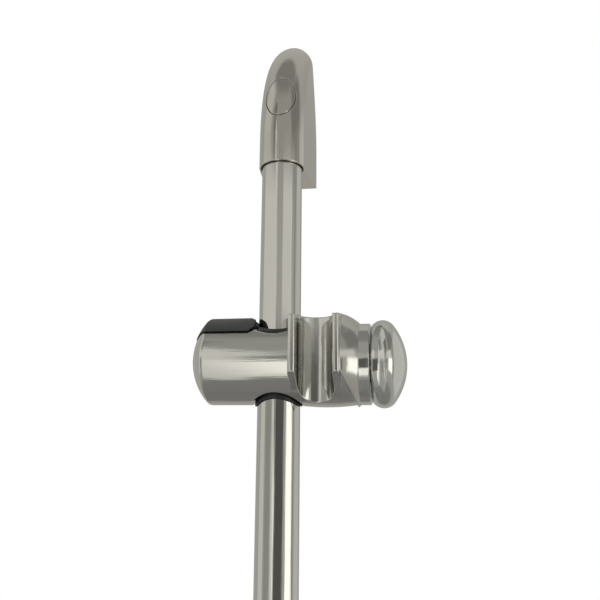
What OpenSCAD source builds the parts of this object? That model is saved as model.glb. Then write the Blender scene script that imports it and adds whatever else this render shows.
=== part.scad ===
// Wall rail for a hand shower: a round tube between two curved wall brackets, with a
// sliding holder that has a lever, an open cradle and a clamping knob.
// X runs along the wall, +Y into the wall, +Z up. The origin is on the wall plane,
// midway between the two fixing holes. Millimetres.

/* [Rail] */
// outer diameter of the rail tube
tube_d = 25; // [24:0.1:25.6]
// wall of the rail tube
tube_wall = 1.2; // [1:0.1:2]
// distance from the tube's axis to the wall
rail_y = 34; // [33:0.5:36]
// distance between the two fixing holes
hole_pitch = 600; // [560:10:800]
// height of the slider's centre above the origin
slider_z = 132; // [0:1:150]

/* [Bracket] */
// radius of the bracket's round front
nose_r = 14.4; // [14.4:0.1:15.4]
// how much each side of the bracket widens towards the wall, per millimetre
side_flare = 0.08; // [0:0.01:0.1]
// height of the bracket's straight part
straight_h = 20; // [18:0.5:24]
// radius of the curve along which the bracket leans back to the wall
lean_r = 90; // [86:1:96]
// height of the fixing hole above the bracket's mouth
hole_rise = 46; // [44:0.5:47]
// diameter of the fixing hole
hole_d = 5.5; // [4.5:0.1:6]
// width of the oval screw cover
cover_w = 18.5; // [17:0.5:19]
// height of the oval screw cover
cover_h = 29; // [27:0.5:29.5]
// radius of the oval's ends
cover_end_r = 6.8; // [6:0.1:7]

/* [Slider] */
// radius of the holder's barrel
barrel_r = 25.2; // [25:0.1:26]
// radius of the domed end
dome_r = 35.7; // [35:0.1:37]
// wall of the barrel
shell_wall = 2.5; // [2.3:0.1:2.6]
// radius of the dark collar round the tube
collar_r = 13.8; // [13.6:0.1:13.9]
// height of the barrel's cut front edge under the lever
sill_z = 14.7; // [14.4:0.1:15.2]
// slope of that cut towards the back, in degrees
sill_slope = 13; // [11:0.5:14]
// distance from the tube's axis to the front edge of the top opening
top_open_y = 21.2; // [21:0.1:21.4]
// how far the lever stands proud of the barrel
lever_rise = 1.1; // [0.6:0.1:1.4]
// radius of the opening round the tube at the bottom
low_open_r = 16.2; // [16:0.1:16.4]

/* [Cradle] */
// left face of the cradle
cradle_x = 10; // [9.6:0.1:10.4]
// thickness of the left lip
lip_w = 4.2; // [3.8:0.1:4.4]
// width of the trough for the handset
trough_w = 20.3; // [19:0.1:20.6]
// distance from the barrel's axis to the bottom of the trough
trough_y = 10.2; // [10:0.1:11]
// distance from the barrel's axis to the front of the lips
lip_y = 31; // [30:0.5:33]
// height of the lips at the front
lip_z = 22.6; // [21:0.1:23]
// largest radius of the crowned body behind the trough
crown_r = 26.5; // [26.2:0.1:27]

/* [Knob] */
// largest radius of the knob
knob_r = 25.2; // [25:0.1:26]
// radius of the neck
neck_r = 23.4; // [22.5:0.1:23.6]
// how far the knob's axis lies below the barrel's axis
knob_drop = 1.9; // [1.5:0.1:2]
// radius of the finger scoops in the knob
scoop_r = 7; // [6.5:0.1:7.5]
// depth of the finger scoops
scoop_depth = 3; // [2:0.1:3.4]

/* [Fits] */
// radial clearance of pieces that turn or slide on one another
run_fit = 0.05; // [0.02:0.01:0.08]
// radial clearance of pieces that are fixed together
seat_fit = 0.05; // [0.02:0.01:0.1]
// open gap between pieces that move past one another
free_gap = 0.4; // [0.3:0.1:0.5]

/* [Hidden] */
$fn = 96;
tube_r = tube_d / 2;
tube_bore_r = tube_r - tube_wall;

// bracket
mouth_z = hole_pitch / 2 - hole_rise;
lean_z = mouth_z + straight_h;
lean_y = lean_r - rail_y;
lean_angle = acos(lean_y / (lean_r + nose_r));
flare_len = sqrt(1 + side_flare * side_flare);
flare_x = nose_r / flare_len;
flare_y = nose_r * side_flare / flare_len;
back_x = flare_x + side_flare * (rail_y + flare_y);
socket_depth = 29;
socket_z = mouth_z + socket_depth;
bush_r = tube_r + 0.95;
bush_lip = 0.7;
plug_flange = 2;
tip_z = lean_z + (lean_r + nose_r) * sin(lean_angle) + 0.3;
arch_r = 26;
arch_x = back_x + 0.2;
arch_z = tip_z - sqrt(pow(arch_r, 2) - pow(arch_r - arch_x, 2));
tube_end = socket_z - plug_flange;
skin = 2.8;
boss_wall = 3.2;
seat_r = 6.5;
seat_y = 8;
cover_back_y = 35;
cover_edge = 0.5;
cover_gap = 1.6;
cover_z = socket_z + cover_gap + cover_h / 2;

// slider, from its own centre on the tube's axis
dome_x = -15.6;
solid_x = -36;
cavity_r = barrel_r - shell_wall;
cavity_x = 11;
drum_r = cavity_r - free_gap;
drum_x0 = -10.4;
crease_r = 3;
sleeve_r = tube_r + 0.6;
drum_top_r = 27.5;
drum_top_drop = 6.6;
sleeve_top = sqrt(pow(drum_top_r, 2) - pow(sleeve_r, 2)) - drum_top_drop - free_gap;
top_front_r = 32;
top_back_r = 21.3;
sleeve_low = -21.5;
collar_low_r = barrel_r + 0.8;
slot_x = collar_r + 0.8;
slot_back = 4;
left_pin_r = 7.2;
left_pin_x = -40;
right_pin_r = 7;
right_pin_x = 45.5;
pad_r = 5;
pad_x = -20;
spring_x = -28;
coils = 6;
coil_overlap = 0.05;
shell_end = 48;
crown_arc = 129.6;
crown_x = 28.5;
shoulder_r = 25;
shoulder_x = 30.6;
shoulder_mid_r = 5.6;
lip_x1 = cradle_x + lip_w;
lip_x2 = lip_x1 + trough_w;
lip_x3 = lip_x2 + 3.9;
lip_low = -9;
diagonal_top = -5.1;
diagonal_slope = 2.2;
lip_round = 1.5;
rim_z = 24.3;

// lever
pivot_x = -17.5;
pivot_z = 18.6;
lever_end_r = 4;
lever_end_x = -11.8;
lever_top = barrel_r + lever_rise;
lever_wall = 2.6;
lever_pin_r = 1.5;
lever_pin_end = 12.4;
lug_y0 = 5.6;
lug_y1 = 8.4;
lug_r = 2.8;
cheek_y = lug_y1 + 0.5;
cheek_x = pivot_x - 4.5;
lever_clear_r = 16.9;

// knob
neck_x = 54;
knob_x = neck_x + free_gap;
knob_mid_x = 61;
knob_round = 7.8;
knob_mid_r = knob_r - knob_round;
knob_end = 74.5;
knob_step = knob_end - knob_mid_x - knob_round;
knob_dome_r = knob_round + (knob_mid_r * knob_mid_r + knob_step * knob_step) / (2 * knob_step);
knob_dome_x = knob_end - knob_dome_r;
knob_touch_r = knob_mid_r * knob_dome_r / (knob_dome_r - knob_round);
scoop_x = 58.2;
scoop_back = 8.8;
scoop_ring_r = knob_r - scoop_depth + scoop_back + scoop_r;
screw_r = 4;
disc_end = shell_end - 0.8;
screw_x0 = disc_end + 0.1;
screw_x1 = 61;
insert_r = 8;
washer_x = shell_end + 1.4;
insert_x = washer_x + free_gap;
insert_end = 62;
neck_bore_r = 12;

far = 100;

chrome = [0.80, 0.81, 0.83];
dark = [0.13, 0.13, 0.14];
grey = [0.24, 0.24, 0.26];
steel = [0.62, 0.63, 0.65];
brass_colour = [0.76, 0.62, 0.32];

// turns a profile drawn as (x, radius) about the X axis
module spin_x() {
  rotate([0, 90, 0]) rotate_extrude() mirror([1, -1, 0]) children();
}

// a bar along X from x0 to x1
module bar_x(r, x0, x1) {
  translate([x0, 0, 0]) rotate([0, 90, 0]) cylinder(r = r, h = x1 - x0);
}

// a bar along Y from y0 to y1 through (x, z)
module bar_y(r, x, z, y0, y1) {
  translate([x, y1, z]) rotate([90, 0, 0]) cylinder(r = r, h = y1 - y0);
}

// a plate drawn as (y, z), from x0 to x1
module side_plate(x0, x1) {
  translate([x0, 0, 0]) rotate([90, 0, 90]) linear_extrude(x1 - x0) children();
}

// a plate drawn as (x, z), from y0 to y1
module front_plate(y0, y1) {
  translate([0, y1, 0]) rotate([90, 0, 0]) linear_extrude(y1 - y0) children();
}

module box(low, high) {
  translate(low) cube(high - low);
}

module at_slider() {
  translate([0, -rail_y, slider_z]) children();
}

module at_knob() {
  at_slider() translate([0, 0, -knob_drop]) children();
}

// Rail and brackets

module foot_section(inset) {
  translate([0, -rail_y]) circle(r = nose_r - inset);
  polygon([
    [inset - flare_x, -rail_y - flare_y], [flare_x - inset, -rail_y - flare_y],
    [back_x - inset, 0], [inset - back_x, 0]
  ]);
}

// the bracket's outline from the front, closed by a pointed arch
module arch_plate(inset) {
  front_plate(-far, 1) {
    intersection() {
      translate([arch_r - arch_x, arch_z]) circle(r = arch_r - inset);
      translate([arch_x - arch_r, arch_z]) circle(r = arch_r - inset);
    }
    translate([inset - arch_x, 0]) square([2 * (arch_x - inset), arch_z]);
  }
}

module foot_body(inset, from_z) intersection() {
  arch_plate(inset);
  difference() {
    union() {
      translate([0, 0, from_z]) linear_extrude(lean_z - from_z) foot_section(inset);
      translate([0, lean_y, lean_z])
        rotate([90, 0, -90])
          rotate_extrude(angle = lean_angle)
            translate([lean_y, 0]) rotate(90) foot_section(inset);
    }
    box([-far, 0, lean_z - far], [far, 2 * far, lean_z + far]);
  }
}

module oval(w, h, end_r) {
  rise = h / 2 - end_r;
  short = w / 2 - end_r;
  side_c = (rise * rise - short * short) / (2 * short);
  side_r = side_c + w / 2;
  reach = rise * side_r / (side_r - end_r);
  translate([0, rise]) circle(r = end_r);
  translate([0, -rise]) circle(r = end_r);
  intersection() {
    translate([side_c, 0]) circle(r = side_r);
    translate([-side_c, 0]) circle(r = side_r);
    square([w, 2 * reach], center = true);
  }
}

module cover_prism(grow, back_y) {
  translate([0, 0, cover_z]) front_plate(-far, back_y)
    oval(cover_w + 2 * grow, cover_h + 2 * grow, cover_end_r + grow);
}

module bracket() {
  difference() {
    foot_body(0, mouth_z);
    // socket for the tube
    translate([0, -rail_y, mouth_z - 1]) cylinder(r = bush_r + seat_fit, h = socket_depth + 1);
    // hollow back, with a boss left round the fixing hole
    difference() {
      foot_body(skin, mouth_z + skin);
      box([-far, -rail_y - far, 0], [far, far, socket_z + skin]);
      cover_prism(boss_wall, 1);
    }
    cover_prism(cover_edge, -cover_back_y);
    bar_y(seat_r, 0, hole_pitch / 2, -cover_back_y - 1, -seat_y);
    bar_y(hole_d / 2, 0, hole_pitch / 2, -seat_y - 1, 1);
  }
}

module screw_cover() {
  intersection() {
    foot_body(0, mouth_z);
    cover_prism(0, -cover_back_y);
  }
}

module collar_bush() {
  translate([0, -rail_y, mouth_z + bush_lip]) difference() {
    cylinder(r = bush_r, h = socket_depth - bush_lip);
    translate([0, 0, -1]) cylinder(r = tube_r + seat_fit, h = socket_depth + 2);
  }
}

module end_plug() {
  translate([0, -rail_y, tube_end]) {
    cylinder(r = tube_r, h = plug_flange);
    translate([0, 0, -12]) cylinder(r = tube_bore_r - seat_fit, h = 12);
  }
}

module rail_tube() color(chrome)
  translate([0, -rail_y, -tube_end]) difference() {
    cylinder(r = tube_r, h = 2 * tube_end);
    translate([0, 0, -1]) cylinder(r = tube_bore_r, h = 2 * tube_end + 2);
  }

module upper_bracket() color(chrome) bracket();
module lower_bracket() color(chrome) mirror([0, 0, 1]) bracket();
module upper_cover() color(chrome) screw_cover();
module lower_cover() color(chrome) mirror([0, 0, 1]) screw_cover();
module upper_bush() color(dark) collar_bush();
module lower_bush() color(dark) mirror([0, 0, 1]) collar_bush();
module upper_plug() color(dark) end_plug();
module lower_plug() color(dark) mirror([0, 0, 1]) end_plug();

// Slider core

module glide_sleeve() color(grey) at_slider() difference() {
  translate([0, 0, sleeve_low]) cylinder(r = sleeve_r, h = sleeve_top - sleeve_low);
  translate([0, 0, -far]) cylinder(r = tube_r + run_fit, h = 2 * far);
}

module slider_core() color(dark) at_slider() difference() {
  union() {
    intersection() {
      bar_x(drum_r, drum_x0, cavity_x - free_gap);
      translate([0, 0, -drum_top_drop]) bar_x(drum_top_r, drum_x0 - 1, cavity_x);
    }
    intersection() {
      translate([0, 0, -far]) cylinder(r = collar_r, h = far);
      bar_x(collar_low_r, -far, far);
    }
    bar_x(left_pin_r, left_pin_x, 0);
    bar_x(right_pin_r, 0, right_pin_x);
  }
  translate([0, 0, -far]) cylinder(r = sleeve_r + run_fit, h = 2 * far);
  bar_x(pad_r + seat_fit, spring_x, 0);
}

module brake_pad() color(grey) at_slider() difference() {
  bar_x(pad_r, pad_x, 0);
  translate([0, 0, -far]) cylinder(r = sleeve_r + run_fit, h = 2 * far);
}

module pad_spring() color(steel) at_slider() {
  coil = (pad_x - spring_x - 2 * coil_overlap - 2 * seat_fit) / coils;
  for (i = [0 : coils - 1])
    translate([spring_x + seat_fit + coil_overlap + coil * (i + 0.5), 0, 0])
      rotate([0, 90, 0]) rotate_extrude()
        translate([3.4, 0]) circle(r = coil / 2 + coil_overlap, $fn = 24);
}

// Holder

// a barrel of radius r with an end domed to radius d, rounded where they meet
module barrel_profile(r, d) {
  crease_x = dome_x - sqrt(pow(d - crease_r, 2) - pow(r - crease_r, 2));
  intersection() {
    translate([dome_x, 0]) circle(r = d);
    translate([dome_x - d, 0]) square([d, (r - crease_r) * d / (d - crease_r)]);
  }
  translate([crease_x, r - crease_r]) circle(r = crease_r);
  translate([crease_x, 0]) square([cradle_x - crease_x, r]);
}

module crown_profile() {
  intersection() {
    translate([crown_x, crown_r - crown_arc]) circle(r = crown_arc, $fn = 720);
    translate([cradle_x, 0]) square([shell_end - cradle_x, crown_r + 1]);
  }
}

// the round shoulder between the right lip and the neck
module shoulder_profile(end_x) {
  intersection() {
    translate([shoulder_x, shoulder_mid_r]) circle(r = shoulder_r);
    translate([lip_x2, 0]) square([end_x - lip_x2, far]);
  }
}

// the part of the right-hand side that lies above the diagonal edge
module above_diagonal() {
  edge_x = lip_x3 - 1.4;
  low_x = shell_end + 1;
  low_z = diagonal_top - diagonal_slope * (low_x - edge_x);
  front_plate(-far, far) polygon([
    [lip_x2, diagonal_top], [edge_x, diagonal_top], [low_x, low_z],
    [far, low_z], [far, far], [lip_x2, far]
  ]);
}

module lip_side() {
  polygon([
    [-lip_y, lip_z], [-lip_y, lip_low], [-19.3, -17.5], [-8, -17.5], [-8, 26.2]
  ]);
}

module lip_plan() {
  // left lip
  translate([cradle_x + lip_round, lip_round - lip_y]) circle(r = lip_round);
  translate([lip_x1 - lip_round, lip_round - lip_y]) circle(r = lip_round);
  translate([cradle_x + lip_round, -lip_y]) square([lip_w - 2 * lip_round, 2 * lip_round]);
  translate([cradle_x, lip_round - lip_y]) square([lip_w, lip_y]);
  // right lip
  translate([lip_x2 + lip_round, lip_round - lip_y]) circle(r = lip_round);
  translate([lip_x3 - lip_round, lip_round - lip_y]) circle(r = lip_round);
  translate([lip_x2 + lip_round, -lip_y]) square([lip_x3 - lip_x2 - 2 * lip_round, 2 * lip_round]);
  translate([lip_x2, lip_round - lip_y]) square([lip_x3 - lip_x2, lip_y]);
  // body between them
  translate([cradle_x, -20]) square([lip_x3 - cradle_x, 20]);
}

module trough_plan() {
  middle_y = -trough_y - trough_w / 2;
  translate([lip_x1, -far]) square([trough_w, far + middle_y]);
  translate([lip_x1 + trough_w / 2, middle_y]) circle(r = trough_w / 2);
}

// everything above the sill, raised by lift
module above_sill(lift) {
  side_plate(-far, 0) polygon([
    [-far, sill_z + lift + (far - 20.2) * tan(sill_slope)],
    [far, sill_z + lift - (far + 20.2) * tan(sill_slope)],
    [far, far], [-far, far]
  ]);
}

module low_opening() {
  intersection() {
    translate([0, 0, -far]) linear_extrude(2 * far) {
      circle(r = low_open_r);
      translate([0, slot_back]) circle(r = low_open_r);
      translate([-low_open_r, 0]) square([2 * low_open_r, slot_back]);
    }
    box([-far, -far, -far], [slot_x, far, far]);
  }
}

module top_opening() {
  linear_extrude(far) intersection() {
    translate([0, top_front_r - top_open_y]) circle(r = top_front_r);
    translate([-top_back_r, -far]) square([top_back_r + cradle_x, far]);
  }
  linear_extrude(far) intersection() {
    circle(r = top_back_r);
    translate([-far, -1]) square([far + cradle_x, far]);
  }
  intersection() {
    translate([0, -4.8, 0]) cylinder(r = collar_r + 0.7, h = far);
    box([-far, -far, -1], [slot_x, far, far]);
  }
}

module lever_window() {
  intersection() {
    above_sill(0);
    front_plate(-far, far) polygon([
      [-far, -far], [-14, -far], [-14, sill_z], [-10.9, 17], [-10.9, far], [-far, far]
    ]);
  }
}

module shell_outside() {
  spin_x() barrel_profile(barrel_r, dome_r);
  difference() {
    spin_x() crown_profile();
    difference() {
      intersection() {
        bar_x(far / 2, lip_x2, far);
        above_diagonal();
      }
      translate([0, 0, -knob_drop]) spin_x() shoulder_profile(shell_end + 2);
    }
  }
  intersection() {
    translate([0, 0, -knob_drop]) spin_x() shoulder_profile(shell_end);
    above_diagonal();
    box([0, -far, -far], [far, 0, far]);
  }
  intersection() {
    side_plate(cradle_x, lip_x3) lip_side();
    translate([0, 0, -far]) linear_extrude(2 * far) lip_plan();
  }
}

module holder_shell() color(chrome) at_slider() difference() {
  union() {
    difference() {
      shell_outside();
      bar_x(cavity_r, solid_x, cavity_x);
      lever_window();
      low_opening();
      top_opening();
    }
    // two arms that carry the lever's pin
    for (side = [-1, 1])
      translate([0, side * (lug_y0 + lug_y1) / 2, 0]) {
        thick = (lug_y1 - lug_y0) / 2;
        box([solid_x - 1, -thick, 5.2], [pivot_x + lug_r, thick, 8.4]);
        box([pivot_x - lug_r, -thick, 5.2], [pivot_x + lug_r, thick, pivot_z]);
        bar_y(lug_r, pivot_x, pivot_z, -thick, thick);
      }
  }
  translate([0, 0, -far]) linear_extrude(2 * far) trough_plan();
  // flat rim behind the trough
  box([lip_x1, -far, rim_z], [lip_x2, far, far]);
  bar_x(left_pin_r + run_fit, left_pin_x - 0.5, 0);
  bar_x(right_pin_r + run_fit, 0, far);
  bar_y(lever_pin_r, pivot_x, pivot_z, -far, far);
}

module neck_ring() color(chrome) at_knob() spin_x() polygon([
  [shell_end, neck_bore_r], [shell_end, neck_r], [neck_x - 0.5, neck_r],
  [neck_x, neck_r - 0.5], [neck_x, neck_bore_r]
]);

module thrust_washer() color(steel) at_knob() difference() {
  bar_x(neck_bore_r - 1, shell_end, washer_x);
  bar_x(screw_r + run_fit, shell_end - 1, washer_x + 1);
}

module friction_disc() color(dark) at_slider()
  bar_x(right_pin_r - seat_fit, right_pin_x + 0.1, disc_end);

module lever_pin() color(steel) at_slider()
  bar_y(lever_pin_r, pivot_x, pivot_z, -lever_pin_end, lever_pin_end);

module lever_spring() color(steel) at_slider()
  for (i = [-3 : 3])
    translate([pivot_x, i * 1.4, pivot_z])
      rotate([90, 0, 0]) rotate_extrude() translate([2.35, 0]) circle(r = 0.72, $fn = 24);

module release_lever() color(grey) at_slider() difference() {
  intersection() {
    spin_x() barrel_profile(lever_top, dome_r + lever_rise / 2);
    above_sill(0.5);
    front_plate(-far, far) difference() {
      union() {
        translate([lever_end_x - lever_end_r, lever_top - lever_end_r]) circle(r = lever_end_r);
        translate([-far, 0]) square([far + lever_end_x - lever_end_r, far]);
        translate([-far, 0]) square([far + lever_end_x, lever_top - lever_end_r]);
      }
      polygon([[-14.6, 15.7], [-10, 19.4], [0, 0], [-14.6, 0]]);
    }
  }
  // hollow underneath, with a solid cheek left on each side of the pivot
  difference() {
    spin_x() barrel_profile(lever_top - lever_wall, dome_r - lever_wall);
    difference() {
      box([cheek_x, -far, -far], [0, far, far]);
      box([cheek_x - 1, -cheek_y, -far - 1], [1, cheek_y, far + 1]);
    }
  }
  translate([0, 0, -far]) cylinder(r = lever_clear_r, h = 2 * far);
  bar_y(lever_pin_r + run_fit, pivot_x, pivot_z, -lever_pin_end - 0.2, lever_pin_end + 0.2);
}

// Knob

module knob_profile() {
  intersection() {
    translate([knob_dome_x, 0]) circle(r = knob_dome_r, $fn = 180);
    translate([knob_mid_x, 0]) square([far, knob_touch_r]);
  }
  translate([knob_x, 0]) square([knob_mid_x - knob_x, knob_mid_r]);
  intersection() {
    translate([knob_mid_x, knob_mid_r]) circle(r = knob_round);
    translate([knob_x, 0]) square([far, far]);
  }
}

module knob() color(chrome) at_knob() difference() {
  spin_x() knob_profile();
  for (side = [-1, 1])
    translate([0, side * scoop_back, 0]) spin_x()
      translate([scoop_x, scoop_ring_r]) circle(r = scoop_r);
  bar_x(insert_r + seat_fit, 0, insert_end);
}

module knob_insert() color(brass_colour) at_knob() difference() {
  bar_x(insert_r, insert_x, insert_end);
  bar_x(screw_r + seat_fit, insert_x - 1, screw_x1);
}

module clamp_screw() color(steel) at_knob() bar_x(screw_r, screw_x0, screw_x1);

rail_tube();
upper_bracket();
lower_bracket();
upper_cover();
lower_cover();
upper_bush();
lower_bush();
upper_plug();
lower_plug();
glide_sleeve();
slider_core();
brake_pad();
pad_spring();
holder_shell();
neck_ring();
thrust_washer();
friction_disc();
lever_pin();
lever_spring();
release_lever();
knob();
knob_insert();
clamp_screw();
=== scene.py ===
"""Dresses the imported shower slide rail: finishes, wound springs, a camera and a soft studio.

Metres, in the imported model's own frame: X along the wall, +Y into the wall, +Z up.
"""

from math import cos, pi, radians, sin

import bpy
from bpy.props import FloatProperty, FloatVectorProperty, IntProperty, PointerProperty
from mathutils import Matrix, Vector


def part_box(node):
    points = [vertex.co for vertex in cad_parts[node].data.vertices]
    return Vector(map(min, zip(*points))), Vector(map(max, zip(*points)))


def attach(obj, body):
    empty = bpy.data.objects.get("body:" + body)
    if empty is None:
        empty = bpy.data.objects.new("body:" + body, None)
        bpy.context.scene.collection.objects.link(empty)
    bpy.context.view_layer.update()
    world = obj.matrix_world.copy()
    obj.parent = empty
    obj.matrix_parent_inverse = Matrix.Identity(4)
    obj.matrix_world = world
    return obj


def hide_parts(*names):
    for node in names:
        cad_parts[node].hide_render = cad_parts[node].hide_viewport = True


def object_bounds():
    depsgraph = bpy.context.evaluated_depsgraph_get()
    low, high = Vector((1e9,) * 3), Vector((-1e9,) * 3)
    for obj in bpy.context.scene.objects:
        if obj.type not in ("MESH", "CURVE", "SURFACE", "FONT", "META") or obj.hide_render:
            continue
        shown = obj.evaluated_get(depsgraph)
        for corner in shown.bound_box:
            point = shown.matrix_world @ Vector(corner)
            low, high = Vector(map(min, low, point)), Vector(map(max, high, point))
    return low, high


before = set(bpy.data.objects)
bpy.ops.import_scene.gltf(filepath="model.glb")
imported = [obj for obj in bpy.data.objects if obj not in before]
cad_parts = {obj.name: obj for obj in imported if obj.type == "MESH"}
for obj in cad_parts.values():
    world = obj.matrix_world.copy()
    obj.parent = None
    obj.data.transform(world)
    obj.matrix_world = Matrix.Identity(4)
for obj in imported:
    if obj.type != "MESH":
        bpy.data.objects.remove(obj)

bl_info = {
    "name": "Shower slide rail",
    "version": (1, 0, 0),
    "blender": (4, 5, 0),
    "location": "3D View > Sidebar > Slide rail",
    "description": "Finishes, wound springs, camera and studio for the packed slide rail",
    "category": "Object",
}

CAD_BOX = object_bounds()

# How the drawn ripples in the plating are scaled along X, Y and Z: long where the number is low.
BRACKET_DRAW = (9.0, 9.0, 0.5)
BARREL_DRAW = (0.5, 9.0, 9.0)
CRADLE_DRAW = (5.0, 5.0, 0.7)
KNOB_DRAW = (2.0, 2.0, 2.0)
TUBE_DRAW = (14.0, 14.0, 0.4)
# Where the cradle begins along X, just left of its first lip.
CRADLE_START = 0.0095
# Heights of the ripples in the plating and of the grain in the other materials.
RIPPLE_HEIGHT = 0.001
GRAIN_HEIGHT = 0.0002
# Sides of a spring's wire, and steps in each of its turns.
WIRE_SIDES = 12
TURN_STEPS = 28

SENSOR_WIDTH = 36.0
CLIP_START = 0.01
FLOOR_SIDES = 128
FLOOR_GAP = 0.0002
# Soft lamps that all point at LAMP_AIM, each with its place, its width, its height and its power.
LAMPS = {
    "front_softbox": ((-0.5, -1.3, 0.9), 1.0, 1.0, 12.0),
    "side_softbox": ((1.3, -0.4, 0.5), 0.5, 1.4, 8.0),
    "rear_softbox": ((-0.4, 1.3, 0.9), 1.0, 1.0, 8.0),
}
LAMP_AIM = (0.0, -0.03, 0.0)

# The room's plain light from straight down to straight up, as (degrees up, level).
ROOM_ARC = [
    (-90, 0.28), (-60, 0.28), (-35, 0.40), (-12, 0.46),
    (15, 0.46), (35, 0.44), (60, 0.48), (90, 0.50),
]
# Soft-edged panels that the polished metal sees, each with its middle (degrees to the right of
# straight in front, degrees up), its half sizes, the softness of its edges, its level and how
# fast it gets lower to the right.
PANELS = {
    "high_shade": ((0.0, 42.0), (82.0, 18.0), 8.0, 0.38, 0.0),
    "left_high": ((-74.0, 42.0), (22.0, 18.0), 6.0, 0.60, 0.0),
    "high_post": ((-31.0, 36.0), (6.0, 13.0), 3.0, 0.20, 0.0),
    "right_high": ((83.0, 42.0), (27.0, 18.0), 6.0, 0.24, 0.0),
    "behind": ((180.0, 15.0), (40.0, 30.0), 8.0, 0.40, 0.0),
    "behind_too": ((-180.0, 15.0), (40.0, 30.0), 8.0, 0.40, 0.0),
    "left_wall": ((-57.0, 15.5), (41.0, 8.5), 3.0, 0.72, 0.0),
    "left_corner": ((-82.0, -3.0), (15.0, 14.0), 4.0, 0.68, 0.0),
    "left_shade": ((-46.0, -5.0), (15.0, 11.0), 4.0, 0.34, 0.0),
    "right_wall": ((47.0, 17.0), (28.0, 7.0), 3.0, 0.72, 0.0),
    "right_edge": ((95.0, 4.0), (6.0, 26.0), 4.0, 0.34, 0.0),
    "right_corner": ((127.0, 4.0), (21.0, 26.0), 6.0, 0.60, 0.0),
    "shelf": ((-14.0, -8.0), (11.0, 27.0), 3.0, 0.74, 1.9),
    "table": ((-8.0, -22.0), (7.0, 18.0), 6.0, 1.25, 0.6),
    "figure": ((15.0, -4.0), (22.0, 13.0), 3.0, 0.11, 0.0),
    "window": ((69.0, -4.0), (17.0, 13.0), 3.0, 1.55, 0.0),
    "post": ((-10.0, 5.0), (4.0, 6.0), 3.0, 0.30, 0.0),
}
# Round shade overhead: its middle, its reach, the softness of its edge and its level.
CANOPY = ((4.0, 65.0), 38.0, 5.0, 0.26)


class RailFinish(bpy.types.PropertyGroup):
    """Colours and roughness of the rail's finishes."""

    chrome_colour: FloatVectorProperty(
        name="Chrome", description="Colour of the plated metal", subtype="COLOR",
        min=0.0, max=1.0, default=(0.66, 0.655, 0.625))
    bracket_colour: FloatVectorProperty(
        name="Bracket chrome", description="Colour of the plating on the brackets",
        subtype="COLOR", min=0.0, max=1.0, default=(0.655, 0.638, 0.590))
    knob_colour: FloatVectorProperty(
        name="Knob chrome", description="Colour of the plating on the knob and its ring",
        subtype="COLOR", min=0.0, max=1.0, default=(0.712, 0.720, 0.703))
    cast_rough: FloatProperty(
        name="Casting roughness", description="Roughness of the plated castings",
        subtype="FACTOR", min=0.0, max=1.0, default=0.05)
    tube_rough: FloatProperty(
        name="Tube roughness", description="Roughness of the drawn tube",
        subtype="FACTOR", min=0.0, max=1.0, default=0.045)
    edge_round: FloatProperty(
        name="Edge round", description="Softness of the castings' edges",
        unit="LENGTH", min=0.0, max=0.002, default=0.0005)
    dark_plastic: FloatVectorProperty(
        name="Dark plastic", description="Colour of the bushes, the core and the plugs",
        subtype="COLOR", min=0.0, max=1.0, default=(0.012, 0.012, 0.013))
    grey_plastic: FloatVectorProperty(
        name="Grey plastic", description="Colour of the lever and the glide sleeve",
        subtype="COLOR", min=0.0, max=1.0, default=(0.027, 0.030, 0.030))
    rubber: FloatVectorProperty(
        name="Rubber", description="Colour of the brake pad", subtype="COLOR",
        min=0.0, max=1.0, default=(0.035, 0.034, 0.033))
    steel: FloatVectorProperty(
        name="Steel", description="Colour of the pin, the washer, the screw and the springs",
        subtype="COLOR", min=0.0, max=1.0, default=(0.55, 0.55, 0.56))
    brass: FloatVectorProperty(
        name="Brass", description="Colour of the threaded insert", subtype="COLOR",
        min=0.0, max=1.0, default=(0.72, 0.52, 0.22))


class RailSizes(bpy.types.PropertyGroup):
    """Sizes of the pieces that are modelled here."""

    pad_wire: FloatProperty(
        name="Pad spring wire", description="Diameter of the brake spring's wire",
        unit="LENGTH", default=0.0011)
    pad_turns: IntProperty(
        name="Pad spring turns", description="Turns of the brake spring", min=2, default=5)
    lever_wire: FloatProperty(
        name="Lever spring wire", description="Diameter of the lever spring's wire",
        unit="LENGTH", default=0.0011)
    lever_turns: IntProperty(
        name="Lever spring turns", description="Turns of the lever spring", min=2, default=7)


class RailStudio(bpy.types.PropertyGroup):
    """Camera, room and floor."""

    lens: FloatProperty(
        name="Lens", description="Focal length on a 36 mm wide picture", default=39.0,
        unit="CAMERA")
    place: FloatVectorProperty(
        name="Camera place", description="Where the camera stands", subtype="XYZ",
        unit="LENGTH", default=(0.07307, -0.40989, 0.08472))
    turn: FloatProperty(
        name="Turn", description="How far the camera is turned to the left", subtype="ANGLE",
        default=radians(9.226))
    tilt: FloatProperty(
        name="Tilt", description="How far the camera looks up", subtype="ANGLE",
        default=radians(12.505))
    roll: FloatProperty(
        name="Roll", description="How far the camera leans", subtype="ANGLE",
        default=radians(0.45))
    room_level: FloatProperty(
        name="Room level", description="Strength of the room round the rail", min=0.0,
        default=1.0)
    room_tint: FloatVectorProperty(
        name="Room tint", description="Colour of the light in the room", subtype="COLOR",
        min=0.0, max=1.0, default=(1.0, 0.985, 0.92))
    floor_radius: FloatProperty(
        name="Floor radius", description="Radius of the pale floor", unit="LENGTH", default=0.45)
    floor_tone: FloatProperty(
        name="Floor tone", description="How pale the floor is", subtype="FACTOR", min=0.0,
        max=1.0, default=0.26)


# Helpers


def feed(tree, made, inputs):
    """Feeds a node's inputs with sockets or plain values."""
    for key, value in inputs.items():
        if isinstance(value, bpy.types.NodeSocket):
            tree.links.new(value, made.inputs[key])
        else:
            made.inputs[key].default_value = value


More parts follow.
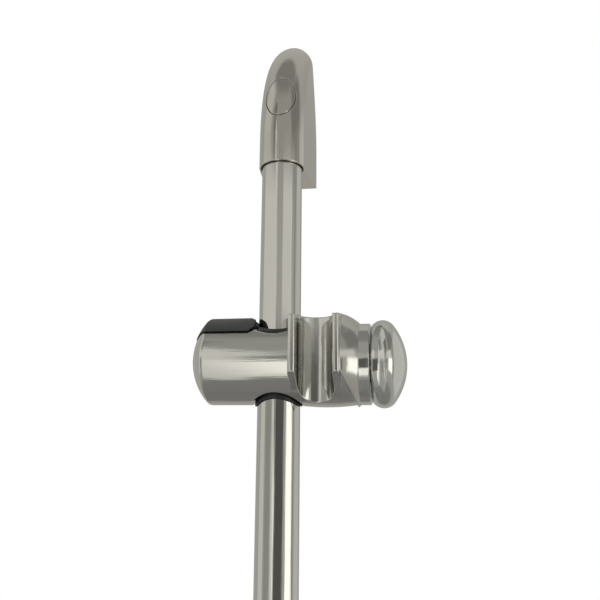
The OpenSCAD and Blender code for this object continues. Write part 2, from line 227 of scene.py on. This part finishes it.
def node(tree, kind, inputs=None, **settings):
    """Adds a shader node, sets it and feeds its inputs."""
    made = tree.nodes.new(kind)
    for name, value in settings.items():
        setattr(made, name, value)
    feed(tree, made, inputs or {})
    return made


def finish_material(name):
    """A new material with an empty principled shader."""
    made = bpy.data.materials.new(name)
    made.use_nodes = True
    tree = made.node_tree
    return made, tree, tree.nodes["Principled BSDF"]


def set_shader(shader, tree, **values):
    """Sets the shader's sockets, with spaces written as underscores."""
    feed(tree, shader, {name.replace("_", " "): value for name, value in values.items()})


def calc(tree, operation, *values):
    return node(tree, "ShaderNodeMath", dict(enumerate(values)), operation=operation).outputs[0]


def mix_colour(tree, factor, first, second, **settings):
    """Mixes two colours, each a socket or plain red, green and blue."""
    first, second = (
        colour if isinstance(colour, bpy.types.NodeSocket) else (*colour, 1.0)
        for colour in (first, second))
    return node(tree, "ShaderNodeMix", {0: factor, 6: first, 7: second}, data_type="RGBA",
                **settings).outputs[2]


def grey(level):
    return (level, level, level)


def shade(colour, factor):
    return tuple(min(1.0, part * factor) for part in colour)


def noise(tree, coord, scale, detail, rough=0.5):
    return node(tree, "ShaderNodeTexNoise", {
        "Vector": coord, "Scale": scale, "Detail": detail, "Roughness": rough,
    }).outputs["Fac"]


def spread(tree, value, low, high, to_low, to_high):
    return node(tree, "ShaderNodeMapRange", {
        "Value": value, "From Min": low, "From Max": high, "To Min": to_low, "To Max": to_high,
    }).outputs["Result"]


def plated(name, colour, rough, edge_round=0.0, stretch=(1.0, 1.0, 1.0), ripple=0.06,
           past=None, past_stretch=(1.0, 1.0, 1.0), past_dull=0.0):
    """Polished plating: faint drawn ripples, smudges that dull it, and a painted highlight that
    makes the edges lighter.

    Where past is given, the ripples follow past_stretch beyond that place in X, and the plating
    is rougher there by past_dull.
    """
    made, tree, shader = finish_material(name)
    coord = node(tree, "ShaderNodeTexCoord").outputs["Object"]
    drawn = node(tree, "ShaderNodeMapping", {"Vector": coord, "Scale": stretch}).outputs[0]
    smudge = noise(tree, coord, 55.0, 6.0, 0.6)
    tint = noise(tree, coord, 14.0, 2.0)
    wave = noise(tree, drawn, 70.0, 3.0)
    dull = spread(tree, smudge, 0.42, 0.72, rough, rough + 0.05)
    if past is not None:
        further = node(tree, "ShaderNodeMapping", {"Vector": coord, "Scale": past_stretch})
        place = node(tree, "ShaderNodeSeparateXYZ", {0: coord}).outputs["X"]
        beyond = spread(tree, place, past, past + 0.001, 0.0, 1.0)
        wave = node(tree, "ShaderNodeMix", {
            0: beyond, 2: wave, 3: noise(tree, further.outputs[0], 70.0, 3.0)}).outputs[0]
        dull = calc(tree, "MULTIPLY_ADD", beyond, past_dull, dull)
    base = mix_colour(tree, tint, shade(colour, 0.95), shade(colour, 1.05))
    bump_inputs = {"Height": wave, "Strength": ripple, "Distance": RIPPLE_HEIGHT}
    if edge_round:
        soft = node(tree, "ShaderNodeBevel", {"Radius": edge_round}, samples=8).outputs[0]
        flat = node(tree, "ShaderNodeNewGeometry").outputs["Normal"]
        along = node(tree, "ShaderNodeVectorMath", {0: soft, 1: flat}, operation="DOT_PRODUCT")
        # Painted highlight: the plating colour is made lighter where the rounded edge turns away
        # from the flat face.
        edge_highlight = spread(tree, along.outputs["Value"], 0.99, 0.8, 0.0, 0.5)
        base = mix_colour(tree, edge_highlight, base, shade(colour, 1.25))
        bump_inputs["Normal"] = soft
    bump = node(tree, "ShaderNodeBump", bump_inputs)
    set_shader(shader, tree, Base_Color=base, Metallic=1.0, Roughness=dull,
               Normal=bump.outputs[0])
    return made


def moulded(name, colour, rough, grain=900.0, depth=0.12):
    """Moulded plastic or rubber: fine grain, uneven sheen and handling marks."""
    made, tree, shader = finish_material(name)
    coord = node(tree, "ShaderNodeTexCoord").outputs["Object"]
    fine = noise(tree, coord, grain, 3.0, 0.7)
    handled = noise(tree, coord, 40.0, 4.0)
    base = mix_colour(tree, handled, shade(colour, 0.8), shade(colour, 1.35))
    dull = spread(tree, handled, 0.35, 0.7, rough - 0.06, rough + 0.1)
    bump = node(tree, "ShaderNodeBump", {
        "Height": fine, "Strength": depth, "Distance": GRAIN_HEIGHT})
    set_shader(shader, tree, Base_Color=base, Roughness=dull, Normal=bump.outputs[0])
    return made


def turned(name, colour, rough):
    """Bare metal from the lathe: fine rings and a little tarnish."""
    made, tree, shader = finish_material(name)
    coord = node(tree, "ShaderNodeTexCoord").outputs["Object"]
    ringed = node(tree, "ShaderNodeMapping", {"Vector": coord, "Scale": (14.0, 1.0, 1.0)})
    rings = noise(tree, ringed.outputs[0], 220.0, 2.0)
    tarnish = noise(tree, coord, 120.0, 5.0)
    base = mix_colour(tree, tarnish, shade(colour, 0.7), shade(colour, 1.1))
    dull = spread(tree, rings, 0.3, 0.7, rough, rough + 0.12)
    bump = node(tree, "ShaderNodeBump", {
        "Height": rings, "Strength": 0.1, "Distance": GRAIN_HEIGHT})
    set_shader(shader, tree, Base_Color=base, Metallic=1.0, Roughness=dull,
               Normal=bump.outputs[0])
    return made


def give(material, *names):
    """Puts a material on CAD nodes."""
    for name in names:
        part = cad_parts[name]
        if not part.material_slots:
            part.data.materials.append(material)
        for slot in part.material_slots:
            slot.link = "OBJECT"
            slot.material = material


def pick_none():
    bpy.ops.object.select_all(action="DESELECT")


def wound_spring(name, node_name, turn, wire, turns):
    """A spring of round wire wound in the space of a CAD node, with closed wire ends.

    turn brings the Z axis of the winding onto the spring's own axis.
    """
    low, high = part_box(node_name)
    sizes = turn.transposed().to_3x3() @ (high - low)
    length = abs(sizes.z) - wire
    mean_radius = abs(sizes.x) / 2 - wire / 2
    pick_none()
    bpy.ops.mesh.primitive_circle_add(
        vertices=WIRE_SIDES, radius=wire / 2, location=(mean_radius, 0.0, 0.0),
        rotation=(pi / 2, 0.0, 0.0))
    made = bpy.context.object
    made.name = made.data.name = name
    bpy.ops.object.transform_apply(location=True, rotation=True, scale=True)
    winding = made.modifiers.new("Winding", "SCREW")
    winding.angle = 2 * pi * turns
    winding.screw_offset = length
    winding.steps = winding.render_steps = TURN_STEPS * turns
    winding.use_merge_vertices = True
    bpy.ops.object.modifier_apply(modifier=winding.name)
    bpy.ops.object.mode_set(mode="EDIT")
    bpy.ops.mesh.select_mode(type="VERT")
    bpy.ops.mesh.select_all(action="DESELECT")
    bpy.ops.mesh.select_non_manifold()
    bpy.ops.mesh.edge_face_add()
    bpy.ops.mesh.select_all(action="SELECT")
    bpy.ops.mesh.normals_make_consistent(inside=False)
    bpy.ops.object.mode_set(mode="OBJECT")
    bpy.ops.object.shade_smooth_by_angle(angle=radians(50))
    made.matrix_world = (Matrix.Translation((low + high) / 2) @ turn
                         @ Matrix.Translation((0.0, 0.0, -length / 2)))
    bpy.ops.object.transform_apply(location=True, rotation=True, scale=True)
    return made


# Operators


class RAIL_OT_finishes(bpy.types.Operator):
    """Put the metal, plastic and rubber finishes on the pieces of the rail"""

    bl_idname = "rail.finishes"
    bl_label = "Finishes"
    bl_options = {"REGISTER", "UNDO"}

    def execute(self, context):
        look = context.scene.rail_finish
        foot = plated("chrome_bracket", look.bracket_colour, look.cast_rough,
                      edge_round=1.6 * look.edge_round, stretch=BRACKET_DRAW, ripple=0.09)
        give(foot, "upper_bracket", "lower_bracket", "upper_cover", "lower_cover")
        holder = plated("chrome_holder", look.chrome_colour, look.cast_rough,
                        edge_round=2.2 * look.edge_round, stretch=BARREL_DRAW, ripple=0.10,
                        past=CRADLE_START, past_stretch=CRADLE_DRAW, past_dull=0.07)
        give(holder, "holder_shell")
        cast = plated("chrome_knob", look.knob_colour, look.cast_rough,
                      edge_round=look.edge_round, stretch=KNOB_DRAW, ripple=0.10)
        give(cast, "neck_ring", "knob")
        tube = plated("chrome_tube", look.chrome_colour, look.tube_rough,
                      stretch=TUBE_DRAW, ripple=0.05)
        give(tube, "rail_tube")
        give(moulded("dark_plastic", look.dark_plastic, 0.38),
             "upper_bush", "lower_bush", "upper_plug", "lower_plug", "slider_core",
             "friction_disc")
        give(moulded("grey_plastic", look.grey_plastic, 0.42), "release_lever", "glide_sleeve")
        give(moulded("brake_rubber", look.rubber, 0.7, grain=1500.0, depth=0.3), "brake_pad")
        give(turned("plain_steel", look.steel, 0.22), "thrust_washer", "lever_pin",
             "clamp_screw")
        give(turned("plain_brass", look.brass, 0.25), "knob_insert")
        return {"FINISHED"}


class RAIL_OT_springs(bpy.types.Operator):
    """Wind the two springs inside the slider"""

    bl_idname = "rail.springs"
    bl_label = "Springs"
    bl_options = {"REGISTER", "UNDO"}

    def execute(self, context):
        sizes = context.scene.rail_sizes
        wire_steel = turned("spring_steel", context.scene.rail_finish.steel, 0.3)
        along_x = Matrix.Rotation(pi / 2, 4, "Y")
        along_y = Matrix.Rotation(-pi / 2, 4, "X")
        for name, replaced, body, turn, wire, turns in (
            ("brake_coil", "pad_spring", "core", along_x, sizes.pad_wire, sizes.pad_turns),
            ("lever_coil", "lever_spring", "holder", along_y, sizes.lever_wire,
             sizes.lever_turns),
        ):
            coil = wound_spring(name, replaced, turn, wire, turns)
            coil.data.materials.append(wire_steel)
            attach(coil, body)
            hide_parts(replaced)
        return {"FINISHED"}


def graded(tree, angle, stops):
    """A grey level that follows an angle from -90 to 90 degrees, by its (degrees, level) stops."""
    place = spread(tree, angle, -pi / 2, pi / 2, 0.0, 1.0)
    ramp = node(tree, "ShaderNodeValToRGB", {"Fac": place})
    ramp.color_ramp.interpolation = "EASE"
    marks = ramp.color_ramp.elements
    marks.remove(marks[1])
    for index, (degrees, level) in enumerate(stops):
        position = 0.5 + degrees / 180
        mark = marks[0] if index == 0 else marks.new(position)
        mark.position = position
        mark.color = (*grey(level), 1.0)
    return ramp.outputs["Color"]


def inside(tree, distance, half, soft):
    """1 within half of the middle, 0 beyond it, with a soft edge; all in degrees."""
    return node(tree, "ShaderNodeMapRange", {
        "Value": distance, "From Min": radians(half - soft), "From Max": radians(half + soft),
        "To Min": 1.0, "To Max": 0.0,
    }, interpolation_type="SMOOTHSTEP").outputs["Result"]


def add_panel(tree, light, around, rise, panel):
    """Lays one soft-edged panel over the light of the room."""
    (turn, lift), (half_width, half_height), soft, level, taper = panel
    beside = calc(tree, "SUBTRACT", around, radians(turn))
    above = calc(tree, "ABSOLUTE", calc(tree, "SUBTRACT", rise, radians(lift)))
    across = inside(tree, calc(tree, "ABSOLUTE", beside), half_width, soft)
    upright = inside(tree, calc(tree, "MULTIPLY_ADD", beside, taper, above), half_height, soft)
    return mix_colour(tree, calc(tree, "MULTIPLY", across, upright), light, grey(level))


def add_canopy(tree, light, coord, canopy):
    """Lays a round soft-edged patch over the light of the room."""
    (turn, lift), reach, soft, level = canopy
    middle = (sin(radians(turn)) * cos(radians(lift)), -cos(radians(turn)) * cos(radians(lift)),
              sin(radians(lift)))
    along = node(tree, "ShaderNodeVectorMath", {0: coord, 1: middle}, operation="DOT_PRODUCT")
    away = calc(tree, "ARCCOSINE", along.outputs["Value"])
    return mix_colour(tree, inside(tree, away, reach, soft), light, grey(level))


def build_room(level, tint):
    """The room: plain soft light with panels in front, plain white where the camera looks."""
    room = bpy.data.worlds.new("studio_room")
    room.use_nodes = True
    tree = room.node_tree
    tree.nodes.clear()
    coord = node(tree, "ShaderNodeTexCoord").outputs["Generated"]
    parts = node(tree, "ShaderNodeSeparateXYZ", {0: coord}).outputs
    around = calc(tree, "ARCTAN2", parts["X"], calc(tree, "MULTIPLY", parts["Y"], -1.0))
    rise = calc(tree, "ARCSINE", parts["Z"])
    light = graded(tree, rise, ROOM_ARC)
    light = add_canopy(tree, light, coord, CANOPY)
    for panel in PANELS.values():
        light = add_panel(tree, light, around, rise, panel)
    tinted = mix_colour(tree, 1.0, light, tint, blend_type="MULTIPLY")
    seen = node(tree, "ShaderNodeLightPath").outputs["Is Camera Ray"]
    lit = node(tree, "ShaderNodeBackground", {"Color": tinted, "Strength": level})
    white = node(tree, "ShaderNodeBackground", {"Color": (1, 1, 1, 1), "Strength": 1.0})
    both = node(tree, "ShaderNodeMixShader", {0: seen, 1: lit.outputs[0], 2: white.outputs[0]})
    node(tree, "ShaderNodeOutputWorld", {"Surface": both.outputs[0]})
    return room


def floor_material(tone):
    """Pale floor that looks white in the picture and keeps the rail's shadow."""
    made, tree, shader = finish_material("pale_floor")
    seen = node(tree, "ShaderNodeLightPath").outputs["Is Camera Ray"]
    glow = calc(tree, "MULTIPLY", seen, 1.0 - tone)
    coord = node(tree, "ShaderNodeTexCoord").outputs["Object"]
    grain = noise(tree, coord, 8.0, 3.0)
    base = mix_colour(tree, grain, grey(tone), shade(grey(tone), 1.04))
    set_shader(shader, tree, Base_Color=base, Roughness=0.9, Emission_Color=(1, 1, 1, 1),
               Emission_Strength=glow)
    return made


def softbox(name, place, width, height, power):
    """A large soft lamp that lights the rail without showing as a spot in the metal."""
    pick_none()
    bpy.ops.object.light_add(type="AREA", location=place)
    made = bpy.context.object
    made.name = made.data.name = name
    made.data.shape = "RECTANGLE"
    made.data.size, made.data.size_y = width, height
    made.data.energy = power
    made.visible_glossy = False
    made.rotation_euler = (Vector(LAMP_AIM) - Vector(place)).to_track_quat("-Z", "Y").to_euler()


class RAIL_OT_stage(bpy.types.Operator):
    """Set up the camera, the soft room, the lamps and the pale floor"""

    bl_idname = "rail.stage"
    bl_label = "Stage"
    bl_options = {"REGISTER", "UNDO"}

    def execute(self, context):
        studio = context.scene.rail_studio
        pick_none()
        bpy.ops.object.camera_add()
        camera = bpy.context.object
        camera.name = "front_camera"
        camera.data.lens = studio.lens
        camera.data.sensor_width = SENSOR_WIDTH
        camera.data.clip_start = CLIP_START
        camera.matrix_world = (Matrix.Translation(studio.place)
                               @ Matrix.Rotation(studio.turn, 4, "Z")
                               @ Matrix.Rotation(pi / 2 + studio.tilt, 4, "X")
                               @ Matrix.Rotation(studio.roll, 4, "Z"))
        context.scene.camera = camera

        lowest = CAD_BOX[0][2]
        pick_none()
        bpy.ops.mesh.primitive_circle_add(
            vertices=FLOOR_SIDES, radius=studio.floor_radius, fill_type="NGON",
            location=(0.0, 0.0, lowest - FLOOR_GAP))
        floor = bpy.context.object
        floor.name = floor.data.name = "studio_floor"
        bpy.ops.object.transform_apply(location=True, rotation=True, scale=True)
        floor.data.materials.append(floor_material(studio.floor_tone))

        for name, lamp in LAMPS.items():
            softbox(name, *lamp)

        context.scene.world = build_room(studio.room_level, studio.room_tint)
        context.scene.view_settings.view_transform = "Standard"
        return {"FINISHED"}


class RAIL_PT_panel(bpy.types.Panel):
    """Buttons and values for the slide rail"""

    bl_idname = "RAIL_PT_panel"
    bl_label = "Slide rail"
    bl_space_type = "VIEW_3D"
    bl_region_type = "UI"
    bl_category = "Slide rail"

    def draw(self, context):
        scene = context.scene
        for title, group, buttons in (
            ("Finishes", scene.rail_finish, ("rail.finishes",)),
            ("Pieces", scene.rail_sizes, ("rail.springs",)),
            ("Studio", scene.rail_studio, ("rail.stage",)),
        ):
            box = self.layout.box()
            box.label(text=title)
            for name in group.bl_rna.properties.keys():
                if name not in ("rna_type", "name"):
                    box.prop(group, name)
            for button in buttons:
                box.operator(button)


CLASSES = (
    RailFinish, RailSizes, RailStudio, RAIL_OT_finishes, RAIL_OT_springs, RAIL_OT_stage,
    RAIL_PT_panel,
)


def register():
    for cls in CLASSES:
        bpy.utils.register_class(cls)
    bpy.types.Scene.rail_finish = PointerProperty(type=RailFinish)
    bpy.types.Scene.rail_sizes = PointerProperty(type=RailSizes)
    bpy.types.Scene.rail_studio = PointerProperty(type=RailStudio)


def unregister():
    del bpy.types.Scene.rail_finish, bpy.types.Scene.rail_sizes, bpy.types.Scene.rail_studio
    for cls in reversed(CLASSES):
        bpy.utils.unregister_class(cls)


def main():
    register()
    bpy.ops.rail.stage()
    bpy.ops.rail.finishes()
    bpy.ops.rail.springs()


if __name__ == "__main__":
    main()
